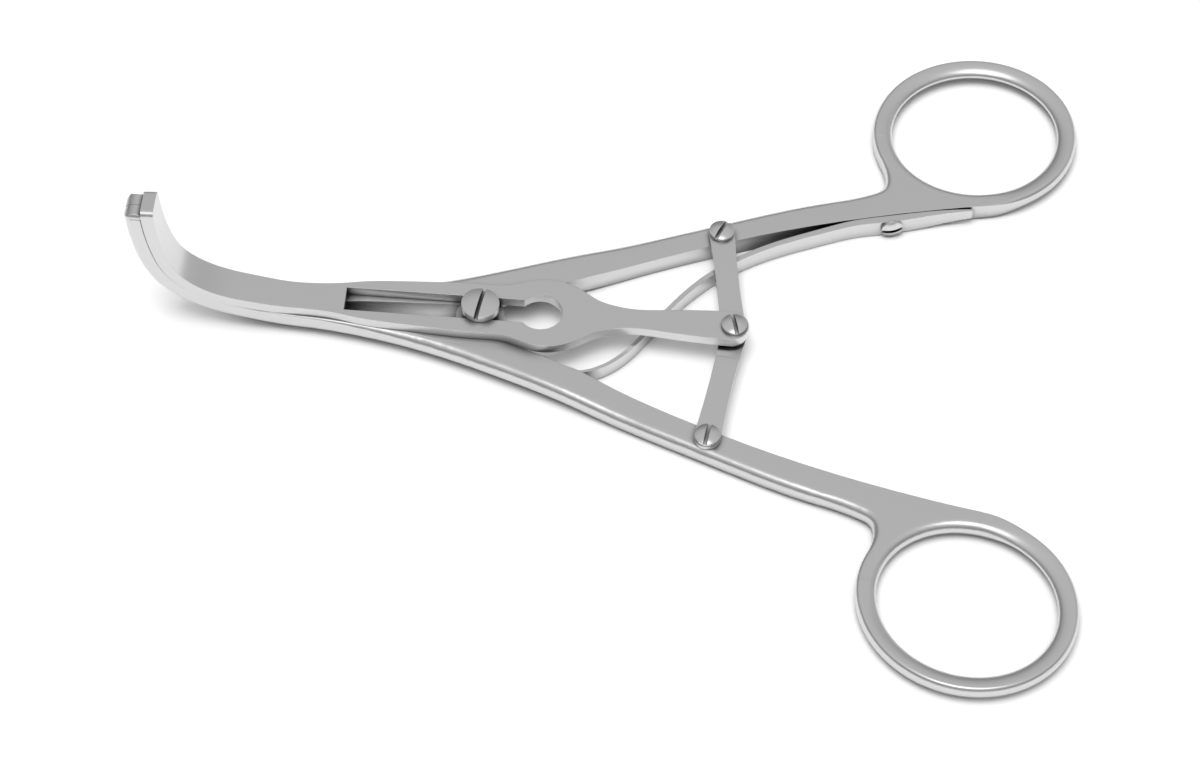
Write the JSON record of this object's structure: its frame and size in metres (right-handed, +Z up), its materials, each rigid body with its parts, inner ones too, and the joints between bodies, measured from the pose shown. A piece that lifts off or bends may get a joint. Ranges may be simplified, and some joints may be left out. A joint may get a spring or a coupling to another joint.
{
  "type": "tracheal dilator",
  "caption": "Three-bladed tracheal dilator: finger rings squeeze curved side blades apart while toggle links draw back the centre blade; a leaf spring reopens it",
  "frame": {"origin": "on the pivot axis, in the flat plane of the underside", "axes": "+X runs from the pivot to the finger rings along the instrument's mid-plane, +Z is up, the way the blades curve, and +Y is towards the far arm, the one with the leaf spring"},
  "size_m": [0.1396, 0.1184, 0.0245],
  "materials": {
    "arm_steel": "satin, fine-ground stainless steel, brighter along the rounded edges",
    "plate_steel": "satin stainless steel, brushed along its length",
    "link_steel": "satin stainless steel, brushed along each link",
    "spring_steel": "satin spring steel strip, lightly brushed along its length",
    "screw_steel": "turned stainless steel, satin heads with a bright rim"
  },
  "bodies": {
    "near_arm": {"near_arm": "arm_steel", "near_handle_screw": "screw_steel"},
    "far_arm": {"far_arm": "arm_steel", "far_handle_screw": "screw_steel", "leaf_spring": "spring_steel", "leaf_screw": "screw_steel"},
    "pivot": {"pivot_screw": "screw_steel"},
    "blade": {"centre_blade": "plate_steel", "centre_pin": "screw_steel"},
    "near_link": {"near_link": "link_steel"},
    "far_link": {"far_link": "link_steel"}
  },
  "joints": [
    {"name": "arm_fold", "type": "hinge", "parent": "near_arm", "child": "far_arm", "pos_m": [0, 0, 0], "axis": [0, 0, -1], "range_deg": [0, 25.2], "stiffness_Nm_per_rad": 0.3, "springref_deg": -28.65, "deforming": ["leaf_spring"]},
    {"name": "pivot_turn", "type": "hinge", "parent": "near_arm", "child": "pivot", "pos_m": [0, 0, 0], "axis": [0, 0, -1], "range_deg": [0, 12.6]},
    {"name": "blade_slide", "type": "slide", "parent": "pivot", "child": "blade", "axis": [1, 0, 0], "range_m": [0, 0.0171]},
    {"name": "far_link_turn", "type": "hinge", "parent": "far_arm", "child": "far_link", "pos_m": [0.0347, 0.0193, 0], "axis": [0, 0, 1], "range_deg": [0, 59.6]},
    {"name": "near_link_turn", "type": "hinge", "parent": "near_arm", "child": "near_link", "pos_m": [0.0347, -0.0193, 0], "axis": [0, 0, -1], "range_deg": [0, 59.6]}
  ],
  "couplings": [
    {"joint": "pivot_turn", "follows": "arm_fold", "ratio": 0.5},
    {"joint": "blade_slide", "follows": "arm_fold", "m_per_rad": 0.03887},
    {"joint": "far_link_turn", "follows": "arm_fold", "ratio": 2.364},
    {"joint": "near_link_turn", "follows": "arm_fold", "ratio": 2.364}
  ]
}
